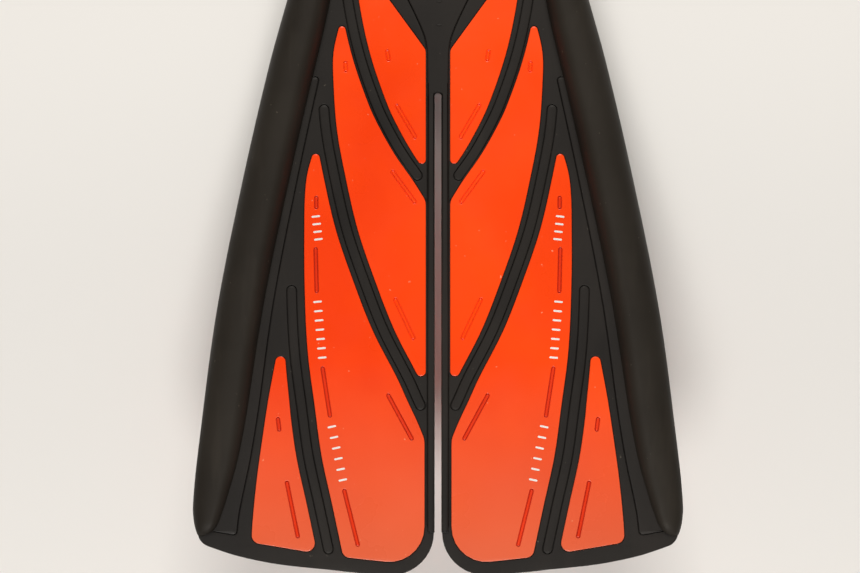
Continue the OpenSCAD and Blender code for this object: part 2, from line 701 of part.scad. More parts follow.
buckle_frame(false);  // right_buckle_frame
lever_pins();
lever_springs();
tension_lever(true);  // left_tension_lever
tension_lever(false);  // right_tension_lever
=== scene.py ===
import math

import bmesh
import bpy
from mathutils import Matrix, Vector
from mathutils.geometry import intersect_line_line_2d


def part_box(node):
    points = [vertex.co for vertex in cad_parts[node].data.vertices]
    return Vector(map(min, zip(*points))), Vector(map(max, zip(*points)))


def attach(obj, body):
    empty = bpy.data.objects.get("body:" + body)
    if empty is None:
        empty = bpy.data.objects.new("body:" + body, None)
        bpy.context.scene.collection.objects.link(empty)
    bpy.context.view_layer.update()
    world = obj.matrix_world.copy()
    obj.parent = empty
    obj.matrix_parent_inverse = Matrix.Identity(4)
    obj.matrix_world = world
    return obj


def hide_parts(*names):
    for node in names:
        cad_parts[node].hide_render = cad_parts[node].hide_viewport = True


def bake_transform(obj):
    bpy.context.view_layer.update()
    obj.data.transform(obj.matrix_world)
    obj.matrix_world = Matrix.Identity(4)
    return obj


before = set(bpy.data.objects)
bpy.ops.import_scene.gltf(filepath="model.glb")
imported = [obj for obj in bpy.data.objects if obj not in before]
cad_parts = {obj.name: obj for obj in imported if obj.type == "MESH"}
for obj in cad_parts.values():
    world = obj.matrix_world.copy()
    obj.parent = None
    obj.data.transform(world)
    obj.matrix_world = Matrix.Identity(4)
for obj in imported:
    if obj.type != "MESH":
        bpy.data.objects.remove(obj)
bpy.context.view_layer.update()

scene = bpy.context.scene
mm = 0.001

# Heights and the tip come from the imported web, so that everything here sits on it
webLow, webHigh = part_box("left_web")
tipY = webLow.y
webMid = (webLow.z + webHigh.z) / 2 / mm
webFace = webHigh.z / mm


def at(x, y, z=0.0):
    # Millimetres across, from the tip and above the floor, as a place in the frame
    return Vector((x * mm, tipY + y * mm, z * mm))


# Lines of the blade, as [millimetres from the tip, millimetres from the middle], but tip is the other
# way round, railShare and railRise are shares of the rail's width and height, flange is the strip's
# width and keel is a share of the way out to the keel's edge
bladeLines = {
    "rail": [[18, 113.9], [32, 115.4], [70, 111.5], [125, 104], [185, 92], [240, 79.3], [270, 71],
             [300, 62.5], [332, 58.5]],
    "railShare": [[18, 0.4], [30, 0.67], [40, 0.79], [52, 0.89], [68, 0.95], [85, 0.98],
                  [120, 1], [240, 1], [270, 0.93], [300, 0.73], [332, 0.6]],
    "railRise": [[18, 0.45], [60, 0.62], [120, 0.85], [180, 1], [260, 1], [300, 0.97], [332, 0.95]],
    "flange": [[18, 10.4], [30, 7.4], [40, 6.3], [52, 5.5], [68, 5], [85, 4.8], [130, 4.1], [235, 3]],
    "tip": [[22, 0], [36, 0.8], [51, 2.4], [75, 5], [93, 8.6], [104.5, 12.2], [116, 16.6]],
    "inner": [[174, 1], [186, 8.5], [197.4, 16.5], [209.2, 23.3], [221, 28.9], [244.4, 36.9],
              [268, 42], [296, 45.5]],
    "middle": [[62, 0.5], [72, 4.6], [82, 9.3], [92, 13.8], [115, 25.6], [139, 35], [162, 42.8],
               [186, 48.4], [209, 52.6], [232, 54.3], [246, 54.2], [262, 50.5]],
    "outer": [[10, 51], [33, 55.9], [56, 60.9], [80, 64.2], [103, 67.2], [127, 68.6],
              [160, 69], [186, 68], [203, 63.5]],
    "keel": [[237, 0], [249, 0.02], [256, 0.1], [270, 0.36], [285, 0.68], [300, 1]],
    "outerPanel": [[10, 87.9], [24, 87.3], [43.5, 85.4], [60, 83.2], [82, 79.9], [96, 77.3], [110, 74.6]],
}
blade = {
    "slotWidth": 3.8,
    "slotLength": 227,
    "lipWidth": 3,
    "lipStart": 23,
    "tipCorner": 20,
    "railWidth": 22,
    "railHeight": 28,
    "railNose": 7,         # length of the rail's round end
    "noseShare": 0.2,      # how much of that roundness its outer side shows
    "tipOfRail": 18,
    "toe": 300,
    "keelWidth": 60,
    "seamGap": 0.2,
    "bendStart": 241,
    "bendEnd": 150,
    "bendStep": 6.5,
}


def slope(knots, i):
    a, b = max(0, i - 1), min(len(knots) - 1, i + 1)
    return (knots[b][1] - knots[a][1]) / (knots[b][0] - knots[a][0])


def along(line, y):
    knots = bladeLines[line] if isinstance(line, str) else line
    i = 0
    while i < len(knots) - 2 and y >= knots[i + 1][0]:
        i += 1
    h = knots[i + 1][0] - knots[i][0]
    t = max(0, min(1, (y - knots[i][0]) / h))
    start = knots[i][1] * (2 * t ** 3 - 3 * t ** 2 + 1) + slope(knots, i) * h * (t ** 3 - 2 * t ** 2 + t)
    end = knots[i + 1][1] * (3 * t ** 2 - 2 * t ** 3) + slope(knots, i + 1) * h * (t ** 3 - t ** 2)
    return start + end


def steps(a, b, count):
    return [a + (b - a) * i / count for i in range(count + 1)]


def railIn(y):
    return along("rail", y) - blade["railWidth"] * along("railShare", y)


def noseInset(y, share=1):
    # How far the rail's round end lies inside its sides, near the tip
    reach = blade["railNose"]
    d = min(reach, max(0, y - blade["tipOfRail"]))
    return share * reach * (1 - math.sqrt(max(0, 1 - ((reach - d) / reach) ** 2)))


def railOut(y):
    return along("rail", y) - noseInset(y, blade["noseShare"])


def railHalf(y):
    return blade["railHeight"] / 2 * min(1, along("railRise", y))


def seam(y):
    return railIn(y) - along("flange", y)


lipEdge = blade["slotWidth"] / 2 + blade["lipWidth"]


def keelHalf(y):
    return lipEdge + (blade["keelWidth"] / 2 - lipEdge) * max(0, along("keel", y))


# Outlines are lists of points in millimetres
def sidePoints(place, a, b, count):
    return [Vector((place(y), y)) for y in steps(a, b, count)]


def bothSides(right):
    # The right half of an outline and its mirror image
    return right + [Vector((-p[0], p[1])) for p in reversed(right)]


def arc(x, y, radius, a, b, count):
    return [Vector((x + radius * math.cos(t), y + radius * math.sin(t))) for t in steps(a, b, count)]


def stretchEnds(points, reach):
    first = points[0] + (points[0] - points[1]).normalized() * reach
    last = points[-1] + (points[-1] - points[-2]).normalized() * reach
    return [first] + list(points) + [last]


def besideLine(points, distance):
    # The line that lies a distance to the left of the way it runs
    out = []
    for i, p in enumerate(points):
        way = (points[min(len(points) - 1, i + 1)] - points[max(0, i - 1)]).normalized()
        out.append(p + Vector((-way.y, way.x)) * distance)
    return out


def cornerCentre(first, second, radius):
    a, b = besideLine(first, radius), besideLine(second, radius)
    for i in reversed(range(len(a) - 1)):
        for j in range(len(b) - 1):
            hit = intersect_line_line_2d(a[i], a[i + 1], b[j], b[j + 1])
            if hit:
                u = (hit - a[i]).length / (a[i + 1] - a[i]).length
                v = (hit - b[j]).length / (b[j + 1] - b[j]).length
                return hit, i + u, j + v
    raise ValueError("two sides of an outline don't meet")


def pointOn(points, place):
    i = min(len(points) - 2, int(place))
    return points[i].lerp(points[i + 1], place - i)


def joinRounded(first, second, radius):
    centre, end, begin = cornerCentre(first, second, radius)
    out = [p for i, p in enumerate(first) if i < end] + [pointOn(first, end)]
    a, b = out[-1] - centre, pointOn(second, begin) - centre
    turn = (math.atan2(b.y, b.x) - math.atan2(a.y, a.x)) % (2 * math.pi)
    out += [centre + Matrix.Rotation(turn * n / 8, 2) @ a for n in range(1, 9)]
    return out + [p for i, p in enumerate(second) if i > begin]


def roundedOutline(sides, radii, grow=0.0):
    # Sides run counterclockwise; the corner after each side gets that side's radius
    long = [stretchEnds(s, 8) for s in sides]
    count = len(long)
    corners = [cornerCentre(long[k], long[(k + 1) % count], radii[k]) for k in range(count)]
    outline = []
    for k in range(count):
        line = besideLine(long[k], -grow)
        begin, end = corners[k - 1][2], corners[k][1]
        outline.append(pointOn(line, begin))
        outline += [line[i] for i in range(len(line)) if begin < i < end]
        outline.append(pointOn(line, end))
        centre = corners[k][0]
        a = outline[-1] - centre
        b = pointOn(besideLine(long[(k + 1) % count], -grow), corners[k][2]) - centre
        turn = (math.atan2(b.y, b.x) - math.atan2(a.y, a.x)) % (2 * math.pi)
        pieces = max(2, round(turn * math.degrees(1) / 14))
        for n in range(1, pieces):
            outline.append(centre + Matrix.Rotation(turn * n / pieces, 2) @ a)
    return [p for i, p in enumerate(outline) if (p - outline[i - 1]).length > 0.02]


def capsule(a, b, width, count=8):
    a, b = Vector(a), Vector(b)
    way = (b - a).normalized() * width / 2
    out = []
    for centre, sign in ((b, 1), (a, -1)):
        for n in range(count + 1):
            turn = Matrix.Rotation(math.pi * (n / count - 0.5), 2)
            out.append(centre + turn @ (way * sign))
    return out


def mirroredLoop(loop, side):
    if side == "right":
        return [Vector(p) for p in loop]
    return [Vector((-p[0], p[1])) for p in reversed(loop)]


def curveBm(curve, loops, cyclic=True):
    # The mesh that a curve makes along its loops of points
    for loop in loops:
        spline = curve.splines.new("POLY")
        spline.points.add(len(loop) - 1)
        for point, p in zip(spline.points, loop):
            point.co = (*Vector(p).to_3d(), 1)
        spline.use_cyclic_u = cyclic
    holder = bpy.data.objects.new("line", curve)
    scene.collection.objects.link(holder)
    bpy.context.view_layer.update()
    bm = bmesh.new()
    bm.from_mesh(holder.evaluated_get(bpy.context.evaluated_depsgraph_get()).to_mesh())
    bpy.data.objects.remove(holder)
    bpy.data.curves.remove(curve)
    bmesh.ops.remove_doubles(bm, verts=bm.verts, dist=1e-4)
    bmesh.ops.recalc_face_normals(bm, faces=bm.faces)
    return bm


def flatBm(outers, holes, side, thickness, edge, mid):
    # A plate with rounded rims, from a filled curve
    curve = bpy.data.curves.new("outline", "CURVE")
    curve.dimensions = "2D"
    curve.fill_mode = "BOTH"
    curve.extrude = thickness / 2 - edge
    curve.bevel_depth = edge
    curve.bevel_resolution = 1
    curve.offset = -edge
    loops = [mirroredLoop(o, side) for o in outers]
    loops += [list(reversed(mirroredLoop(h, side))) for h in holes]
    bm = curveBm(curve, loops)
    bmesh.ops.translate(bm, verts=bm.verts, vec=(0, 0, mid))
    return bm


def tubeBm(points, radius):
    curve = bpy.data.curves.new("line", "CURVE")
    curve.dimensions = "3D"
    curve.bevel_depth = radius
    curve.bevel_resolution = 3
    curve.use_fill_caps = True
    return curveBm(curve, [points], cyclic=False)


def cutForBend(bm):
    # Rows of points across the stretch of the blade that bends
    y = blade["bendEnd"] - blade["bendStep"]
    while y < blade["bendStart"] + blade["bendStep"]:
        geom = bm.verts[:] + bm.edges[:] + bm.faces[:]
        bmesh.ops.bisect_plane(bm, geom=geom, dist=1e-4, plane_co=(0, y, 0), plane_no=(0, 1, 0))
        y += blade["bendStep"]


def finishMesh(bm, name, angle=32):
    bmesh.ops.transform(bm, verts=bm.verts, matrix=Matrix.Translation((0, tipY, 0)) @ Matrix.Scale(mm, 4))
    mesh = bpy.data.meshes.new(name)
    bm.to_mesh(mesh)
    bm.free()
    mesh.shade_smooth()
    mesh.set_sharp_from_angle(angle=math.radians(angle))
    return mesh


def addPiece(bm, name, finish, slotName, even=True, angle=32):
    piece = bpy.data.objects.new(name, finishMesh(bm, name, angle))
    scene.collection.objects.link(piece)
    piece.data.materials.append(finish)
    if even:
        modifier = piece.modifiers.new("evenShade", "WEIGHTED_NORMAL")
        modifier.keep_sharp = True
        modifier.weight = 80
    return piece


def joinBm(bm, other):
    mesh = bpy.data.meshes.new("part")
    other.to_mesh(mesh)
    other.free()
    bm.from_mesh(mesh)
    bpy.data.meshes.remove(mesh)


def gridBm(across, around, place, closed=True):
    bm = bmesh.new()
    bmesh.ops.create_grid(bm, x_segments=across, y_segments=around, size=0.5)
    for v in bm.verts:
        v.co = place(v.co.x + 0.5, v.co.y + 0.5)
    bmesh.ops.remove_doubles(bm, verts=bm.verts, dist=1e-3)
    if closed:
        bmesh.ops.holes_fill(bm, edges=bm.edges, sides=0)
    bmesh.ops.recalc_face_normals(bm, faces=bm.faces)
    return bm


def addRidingPiece(bm, name, finish, body, node, **shading):
    piece = addPiece(bm, name, finish, "rubber", **shading)
    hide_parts(node)
    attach(piece, body)
    return piece


def faceAwayFrom(bm, place):
    # An open shell's faces are turned away from a place behind them
    if sum(f.normal.dot(f.calc_center_median() - place) for f in bm.faces) < 0:
        bmesh.ops.reverse_faces(bm, faces=bm.faces)


def bendWith(piece):
    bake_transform(piece)


def addBladePiece(bm, side, name, finish, slotName, nodes=(), **shading):
    cutForBend(bm)
    piece = addPiece(bm, side + name, finish, slotName, **shading)
    if nodes:
        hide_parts(*nodes)
    bendWith(piece)


class Finish:
    # A node material with short calls for the few nodes that the finishes share
    def __init__(self, name):
        self.material = bpy.data.materials.new(name)
        self.material.use_nodes = True
        self.nodes = self.material.node_tree.nodes
        self.links = self.material.node_tree.links
        self.shader = self.nodes["Principled BSDF"]
        self.place = self.nodes.new("ShaderNodeTexCoord").outputs["Object"]

    def noise(self, scale, detail=3, roughness=0.55, stretch=None):
        node = self.nodes.new("ShaderNodeTexNoise")
        node.inputs["Scale"].default_value = scale
        node.inputs["Detail"].default_value = detail
        node.inputs["Roughness"].default_value = roughness
        source = self.place
        if stretch:
            mapping = self.nodes.new("ShaderNodeMapping")
            mapping.inputs["Scale"].default_value = stretch
            self.links.new(self.place, mapping.inputs["Vector"])
            source = mapping.outputs["Vector"]
        self.links.new(source, node.inputs["Vector"])
        return node.outputs["Fac"]

    def spread(self, source, low, high, toLow=0.0, toHigh=1.0):
        node = self.nodes.new("ShaderNodeMapRange")
        node.inputs["From Min"].default_value = low
        node.inputs["From Max"].default_value = high
        node.inputs["To Min"].default_value = toLow
        node.inputs["To Max"].default_value = toHigh
        self.links.new(source, node.inputs["Value"])
        return node.outputs["Result"]

    def along(self, axis):
        node = self.nodes.new("ShaderNodeSeparateXYZ")
        self.links.new(self.place, node.inputs["Vector"])
        return node.outputs[axis]

    def mix(self, factor, first, second):
        node = self.nodes.new("ShaderNodeMix")
        node.data_type = "RGBA"
        self.links.new(factor, node.inputs["Factor"])
        for socket, value in ((node.inputs[6], first), (node.inputs[7], second)):
            if isinstance(value, tuple):
                socket.default_value = (*value, 1)
            else:
                self.links.new(value, socket)
        return node.outputs[2]

    def bump(self, height, strength, distance, under=None):
        node = self.nodes.new("ShaderNodeBump")
        node.inputs["Strength"].default_value = strength
        node.inputs["Distance"].default_value = distance
        self.links.new(height, node.inputs["Height"])
        if under:
            self.links.new(under, node.inputs["Normal"])
        return node.outputs["Normal"]

    def into(self, socket, source):
        self.links.new(source, self.shader.inputs[socket])


def rubberFinish(name, dark, light, roughLow, roughHigh, gloss):
    f = Finish(name)
    mottle = f.spread(f.noise(18, 4), 0.35, 0.68)
    base = f.mix(mottle, dark, light)
    streaks = f.spread(f.noise(90, 3, 0.6, (1, 0.16, 1)), 0.54, 0.78, 0, 0.35)
    base = f.mix(streaks, base, tuple(c * 1.7 for c in light))
    dust = f.spread(f.noise(520, 2, 0.5), 0.755, 0.79, 0, 0.45)
    base = f.mix(dust, base, (0.15, 0.13, 0.1))
    f.into("Base Color", base)
    f.into("Roughness", f.spread(f.noise(34, 3), 0.3, 0.7, roughLow, roughHigh))
    grain = f.bump(f.noise(2600, 2, 0.6), 0.35, 0.00006)
    f.into("Normal", f.bump(f.noise(160, 3), 0.12, 0.0004, grain))
    f.shader.inputs["Specular IOR Level"].default_value = gloss
    return f.material


def plasticFinish(name, dark, light, roughLow, roughHigh, speck, gloss=0.5, paintedTipReflection=None):
    f = Finish(name)
    base = f.mix(f.spread(f.noise(12, 3), 0.35, 0.65), dark, light)
    if paintedTipReflection:
        # Painted reflection: the panels are paler and duller toward the tip, a pale glossy haze of light
        # painted into their colour
        base = f.mix(f.spread(f.along("Y"), tipY + 0.1, tipY, 0, 0.75), base, paintedTipReflection)
    dust = f.spread(f.noise(420, 2, 0.5), 0.745, 0.785, 0, 0.55)
    f.into("Base Color", f.mix(dust, base, speck))
    f.into("Roughness", f.spread(f.noise(26, 4), 0.3, 0.7, roughLow, roughHigh))
    grain = f.bump(f.noise(1500, 2), 0.16, 0.00004)
    f.into("Normal", f.bump(f.noise(45, 2), 0.1, 0.0006, grain))
    f.shader.inputs["Specular IOR Level"].default_value = gloss
    return f.material


def steelFinish(name):
    f = Finish(name)
    brush = f.noise(220, 3, 0.6, (1, 14, 1))
    f.into("Base Color", f.mix(brush, (0.42, 0.42, 0.43), (0.66, 0.66, 0.67)))
    f.into("Roughness", f.spread(brush, 0.3, 0.7, 0.22, 0.4))
    f.into("Normal", f.bump(brush, 0.15, 0.00004))
    f.shader.inputs["Metallic"].default_value = 1
    return f.material


bladeRubber = rubberFinish("bladeRubber", (0.0072, 0.0056, 0.0046), (0.0125, 0.0098, 0.0078),
                           0.48, 0.62, 0.26)
railRubber = rubberFinish("railRubber", (0.0172, 0.0142, 0.0112), (0.0245, 0.0205, 0.0162), 0.47, 0.61, 0.14)
pocketRubber = rubberFinish("pocketRubber", (0.011, 0.01, 0.0092), (0.019, 0.017, 0.0152), 0.5, 0.68, 0.36)
hardBlack = plasticFinish("hardBlack", (0.011, 0.0102, 0.0095), (0.019, 0.0178, 0.0165), 0.32, 0.46,
                          (0.16, 0.15, 0.13))
# The panels' last colour is a painted reflection, mixed in toward the tip
orangePanel = plasticFinish("orangePanel", (0.86, 0.045, 0.0003), (0.96, 0.065, 0.0006), 0.24, 0.36,
                            (0.95, 0.42, 0.25), 0.34, (0.61, 0.14, 0.064))
orangeRib = plasticFinish("orangeRib", (0.68, 0.026, 0.0005), (0.78, 0.036, 0.0008), 0.34, 0.46,
                          (0.8, 0.2, 0.12), 0.34)
# Painted shade: the rib beds at the bottom of the grooves round the ribs are darker red for the shade in the
# grooves, and only a little darker for the faint ribs
shadedRibBed = plasticFinish("shadedRibBed", (0.42, 0.012, 0.0005), (0.5, 0.016, 0.0007), 0.5, 0.6, (0.5, 0.1, 0.05), 0.2)
faintShadedRibBed = plasticFinish("faintShadedRibBed", (0.78, 0.034, 0.0003), (0.88, 0.048, 0.0006), 0.3, 0.42,
                            (0.9, 0.3, 0.18), 0.3)
markWhite = plasticFinish("markWhite", (0.72, 0.71, 0.69), (0.82, 0.81, 0.79), 0.45, 0.6,
                          (0.6, 0.58, 0.55))
steel = steelFinish("brushedSteel")
print("finishes made")

panels = {
    "face": 0.3,         # depth below the web's face
    "edgeStrip": 1.4,
    "stripWidth": 2.85,
    "battenWidth": 4.5,
    "battenProud": 0.4,
    "webThickness": 5,
    "flangeThickness": 6.4,
    "keelThickness": 7,
    "rim": 0.38,
    "coreOverlap": 0.4,
    "coreThickness": 3.4,
    "ribWidth": 1.3,
    "ribGroove": 0.32,
    "ribProud": 0.3,
    "faintRibProud": 0.12,   # the ribs nearer the foot hardly stand out
    "bedSink": 0.9,
    "panelRim": 0.35,
    "battenRim": 0.7,
    "nearFoot": 0.6,         # how much closer to the slot the two panels nearer the foot come
}
panelX = lipEdge + panels["edgeStrip"]
innerX = panelX - panels["nearFoot"]
beside = panels["battenWidth"] / 2 + panels["stripWidth"]

# Where each panel begins and ends along the blade, and its corners' radii in the order of its sides
panelShapes = {
    "inner": {"low": 188, "high": 294, "rootCorner": (39.4, 293), "shoulder": 246.8, "radii": [2.6, 4, 1.9]},
    "second": {"low": 86, "high": 262, "innerLow": 177, "nearer": 1.5, "radii": [1.7, 6, 2.3]},
    "main": {"low": 8, "high": 203, "innerLow": 66, "farther": 1, "edge": (62, 24),
             "tipEdge": [(22, 5.9), 8.4], "radii": [1.9, 8, 16.5, 4]},
    "outer": {"low": 16, "high": 116, "innerLow": 11, "farther": 0.6, "taperFrom": 75, "taper": 0.04,
              "tipEdge": [(57.5, 10.2), (88, 15.3)], "radii": [2.4, 4, 4]},
}


def straight(a, b):
    return [Vector(a), Vector(a).lerp(Vector(b), 0.5), Vector(b)]


def innerPanelLoop(grow=0.0):
    p = panelShapes["inner"]
    outer = sidePoints(lambda y: along("inner", y) - beside, p["low"], p["high"], 34)
    shoulder = (innerX, p["shoulder"])
    sides = [outer, straight(p["rootCorner"], shoulder), straight(shoulder, (innerX, p["low"]))]
    return roundedOutline(sides, p["radii"], grow)


def secondPanelLoop(grow=0.0):
    p = panelShapes["second"]
    outer = sidePoints(lambda y: along("middle", y) - beside, p["low"], p["high"], 54)
    inner = sidePoints(lambda y: along("inner", y) + beside - p["nearer"], p["high"], p["innerLow"], 28)
    edge = straight((innerX, p["innerLow"] - 1), (innerX, p["low"]))
    return roundedOutline([outer, inner, edge], p["radii"], grow)


def mainPanelLoop(grow=0.0):
    p = panelShapes["main"]
    outer = sidePoints(lambda y: along("outer", y) - beside - p["farther"], p["low"], p["high"], 60)
    inner = sidePoints(lambda y: along("middle", y) + beside, p["high"], p["innerLow"], 44)
    edge = straight((panelX, p["edge"][0]), (panelX, p["edge"][1]))
    first, last = p["tipEdge"]
    return roundedOutline([outer, inner, edge, straight(first, (outer[0].x, last))], p["radii"], grow)


def outerPanelLoop(grow=0.0):
    p = panelShapes["outer"]

    def innerLine(y):
        return along("outer", y) + beside + p["farther"] - p["taper"] * max(0, y - p["taperFrom"])

    outer = sidePoints(lambda y: along("outerPanel", y), p["low"], p["high"], 36)
    inner = sidePoints(innerLine, p["high"], p["innerLow"], 36)
    return roundedOutline([outer, inner, straight(*p["tipEdge"])], p["radii"], grow)


def battenLoop(line, a, b, grow=0.0):
    half = panels["battenWidth"] / 2 + grow
    reach = panels["battenWidth"] / 2
    middle = sidePoints(lambda y: along(line, y), a + reach, b - reach, 40)
    right = besideLine(middle, -half)
    left = besideLine(middle, half)
    top = capsule(middle[-2], middle[-1], 2 * half)[1:8]
    bottom = capsule(middle[1], middle[0], 2 * half)[1:8]
    return right + top + left[::-1] + bottom


battens = {"inner": (185.5, 290), "middle": (77.5, 221), "outer": (10, 136)}   # where each begins and ends
panelLoops = {"inner": innerPanelLoop, "second": secondPanelLoop, "main": mainPanelLoop,
              "outer": outerPanelLoop}
ribs = {   # each as [x, y, x, y] from end to end
    "inner": [[19.3, 220.5, 10.8, 206], [23.8, 246, 23.2, 242.5]],
    "second": [[43.5, 240.6, 43.3, 237.4], [21.2, 189.4, 11, 175.5], [20, 129.3, 11.6, 111.5]],
    "main": [[57.2, 177.2, 57.2, 173], [57.5, 153, 57, 133.5], [54.2, 97, 50.8, 75],
             [44, 39.5, 37.7, 14.3], [23.3, 84.3, 12.4, 64.2]],
    "outer": [[75.2, 73.2, 74.6, 68.4], [71, 43.3, 65.9, 18.2]],
}


def ribShapes(name, width):
    return [capsule(r[:2], r[2:], width) for r in ribs[name]]


webEdge = {"cornerX": 112.9, "cornerRadius": 7, "cornerLow": 12, "cornerTop": 28, "underRail": 3.4,
           "tipFrom": 24, "tipTo": 112}


def webLoop(gap):
    inner = [Vector((keelHalf(y) + gap if y > blade["slotLength"] else lipEdge + gap, y))
             for y in steps(blade["toe"], blade["lipStart"], 60)]
    r = blade["tipCorner"]
    corner = arc(blade["slotWidth"] / 2 + r, r, r, math.pi, 1.5 * math.pi, 10)
    tip = [Vector((x, along("tip", x))) for x in steps(webEdge["tipFrom"], webEdge["tipTo"], 32)]
    nose = straight((webEdge["cornerX"], webEdge["cornerLow"]), (webEdge["cornerX"], webEdge["cornerTop"]))
    outer = [Vector((railIn(y) + webEdge["underRail"], y))
             for y in steps(webEdge["cornerTop"], blade["toe"], 50)]
    return inner + corner + joinRounded(tip, nose, webEdge["cornerRadius"]) + outer


def webHoles(gap):
    holes = [loop(gap) for loop in panelLoops.values()]
    return holes + [battenLoop(name, a, b, gap) for name, (a, b) in battens.items()] + [flangeLoop(gap)]


def addWeb(side):
    bm = flatBm([webLoop(blade["seamGap"])], webHoles(blade["seamGap"]), side, panels["webThickness"],
                panels["rim"], webMid)
    # A core reaches under the seams, so that they end in rubber
    core = -panels["coreOverlap"]
    joinBm(bm, flatBm([webLoop(core)], webHoles(core), side, panels["coreThickness"], 0.05, webMid))
    addBladePiece(bm, side, "Web", bladeRubber, "rubber", [side + "_web", "blade_root"])


def addPanels(side):
    thick = panels["webThickness"] - 2 * panels["face"]
    groove = panels["ribWidth"] + 2 * panels["ribGroove"]
    for name, loop in panelLoops.items():
        atRoot = name in ("inner", "second")
        bm = flatBm([loop()], ribShapes(name, groove), side, thick, panels["panelRim"], webMid)
        nodes = [side + "_" + name + "_panel"] + ["root_panels"] * atRoot
        addBladePiece(bm, side, name.capitalize() + "Panel", orangePanel, "orange", nodes)
        proud = panels["faintRibProud"] if atRoot else panels["ribProud"]
        # The beds under the ribs get the darker finishes, painted shade in the grooves
        barFinish, bedShadeFinish = (orangePanel, faintShadedRibBed) if atRoot else (orangeRib, shadedRibBed)
        for part, width, tall, rim, finish in (
                ("Ribs", panels["ribWidth"], thick + 2 * proud, 0.5, barFinish),
                ("RibBeds", groove + 0.1, thick - panels["bedSink"], 0.1, bedShadeFinish)):
            bm = flatBm(ribShapes(name, width), [], side, tall, rim, webMid)
            addBladePiece(bm, side, name.capitalize() + part, finish, "orange")


def addBattens(side):
    thick = panels["webThickness"] + 2 * panels["battenProud"]
    for name, (a, b) in battens.items():
        bm = flatBm([battenLoop(name, a, b)], [], side, thick, panels["battenRim"], webMid)
        nodes = [side + "_" + name + "_batten"] + ["root_battens"] * (name == "inner")
        addBladePiece(bm, side, name.capitalize() + "Batten", bladeRubber, "hard_black", nodes)


lip = {"intoSlot": 0.3, "pastStart": 3, "underKeel": 5, "belowKeel": 0.1, "rim": 0.7}


def addLip(side):
    half = blade["slotWidth"] / 2 - lip["intoSlot"]
    low, high = blade["lipStart"] - lip["pastStart"], blade["slotLength"] + lip["underKeel"]
    sides = [straight((lipEdge, low), (lipEdge, high)), straight((lipEdge, high), (half, high)),
             straight((half, high), (half, low)), straight((half, low), (lipEdge, low))]
    bm = flatBm([roundedOutline(sides, [0.3] * 4)], [], side, panels["keelThickness"] - lip["belowKeel"],
                lip["rim"], webMid)
    addBladePiece(bm, side, "SlotLip", bladeRubber, "rubber", [side + "_slot_lip"])


flange = {"low": 20, "high": 232, "underRail": 2, "rim": 0.8, "radii": [0.6, 1.6, 2, 0.6]}


def flangeLoop(grow=0.0):
    low, high = flange["low"], flange["high"]
    inner = sidePoints(seam, high, low, 46)
    outer = sidePoints(lambda y: railIn(y) + flange["underRail"], low + 2, high, 46)
    sides = [outer, straight((outer[-1].x, high + 2), (inner[0].x, high + 2)), inner,
             straight((inner[-1].x, low - 1.4), (outer[0].x, low + 0.6))]
    return roundedOutline(sides, flange["radii"], grow)


def addFlange(side):
    bm = flatBm([flangeLoop()], [], side, panels["flangeThickness"], flange["rim"], webMid)
    addBladePiece(bm, side, "Flange", bladeRubber, "rubber", [side + "_flange"])


rail = {"stations": 58, "around": 40, "end": 332, "outerShare": 0.64, "dome": 2.35, "flank": 2.3,
        "crowding": 1.6, "blunt": 0.12}


def addRail(side):
    sign = 1 if side == "right" else -1
    start = blade["tipOfRail"]

    def place(u, v):
        y = start + (rail["end"] - start) * u ** rail["crowding"]
        turn = 2 * math.pi * v
        c, s = math.cos(turn), math.sin(turn)
        x0, x1 = railIn(y) + noseInset(y), railOut(y)
        crest = x1 - (x1 - x0) * rail["outerShare"]
        reach = x1 - crest if c > 0 else crest - x0
        power = rail["dome"] if c > 0 else rail["flank"]
        nose = math.sqrt(max(0.0, 1 - (1 - min(1, (y - start) / blade["railNose"])) ** 2))
        tall = railHalf(y) * (rail["blunt"] + (1 - rail["blunt"]) * nose)
        x = crest + reach * math.copysign(abs(c) ** (2 / power), c)
        z = webMid + tall * math.copysign(abs(s) ** (2 / power), s)
        return Vector((sign * x, y, z))

    bm = gridBm(rail["stations"], rail["around"], place)
    addBladePiece(bm, side, "Rail", railRubber, "rubber", [side + "_side_rail", side + "_rail_root"],
                  even=False, angle=50)


keel = {"gap": 0.1, "overSlot": 1.8, "rim": 0.6, "pips": (258.3, 269.3), "pipEnds": (-0.2, 1.2),
        "pipWidth": 0.9, "pipHeight": 0.25}


def addKeel():
    end = blade["slotLength"]
    half = blade["slotWidth"] / 2
    right = [Vector((keelHalf(y) - keel["gap"], y)) for y in steps(end - keel["overSlot"], blade["toe"], 44)]
    notch = arc(0, end - half, half, 0, math.pi, 10)
    bm = flatBm([bothSides(right) + notch[::-1]], [], "right", panels["keelThickness"], keel["rim"], webMid)
    low, high = keel["pipEnds"]
    pips = [capsule((low, y), (high, y), keel["pipWidth"], 5) for y in keel["pips"]]
    joinBm(bm, flatBm(pips, [], "right", panels["keelThickness"] + 2 * keel["pipHeight"], 0.2, webMid))
    addRidingPiece(bm, "toeKeel", bladeRubber, "foot", "toe_keel")


marks = {   # rows of ticks, each from one point to another and with so many ticks
    "length": 3.2,
    "width": 0.9,
    "thickness": 0.16,
    "runs": [[(57.6, 170.3), (56, 156), 4], [(56.8, 130.6), (54.2, 100), 7], [(50.4, 72.2), (44.2, 42.2), 6]],
}


def addMarks(side):
    bars = []
    for a, b, count in marks["runs"]:
        a, b = Vector(a), Vector(b)
        way = (b - a).normalized()
        acrossWay = Vector((-way.y, way.x))
        for n in range(count):
            centre = a.lerp(b, (n + 0.5) / count)
            bars.append(capsule(centre - acrossWay * marks["length"] / 2,
                                centre + acrossWay * marks["length"] / 2, marks["width"], 4))
    bm = flatBm(bars, [], side, marks["thickness"], marks["thickness"] / 4, webFace - panels["face"])
    piece = addPiece(bm, side + "Marks", markWhite, "orange")
    bendWith(piece)


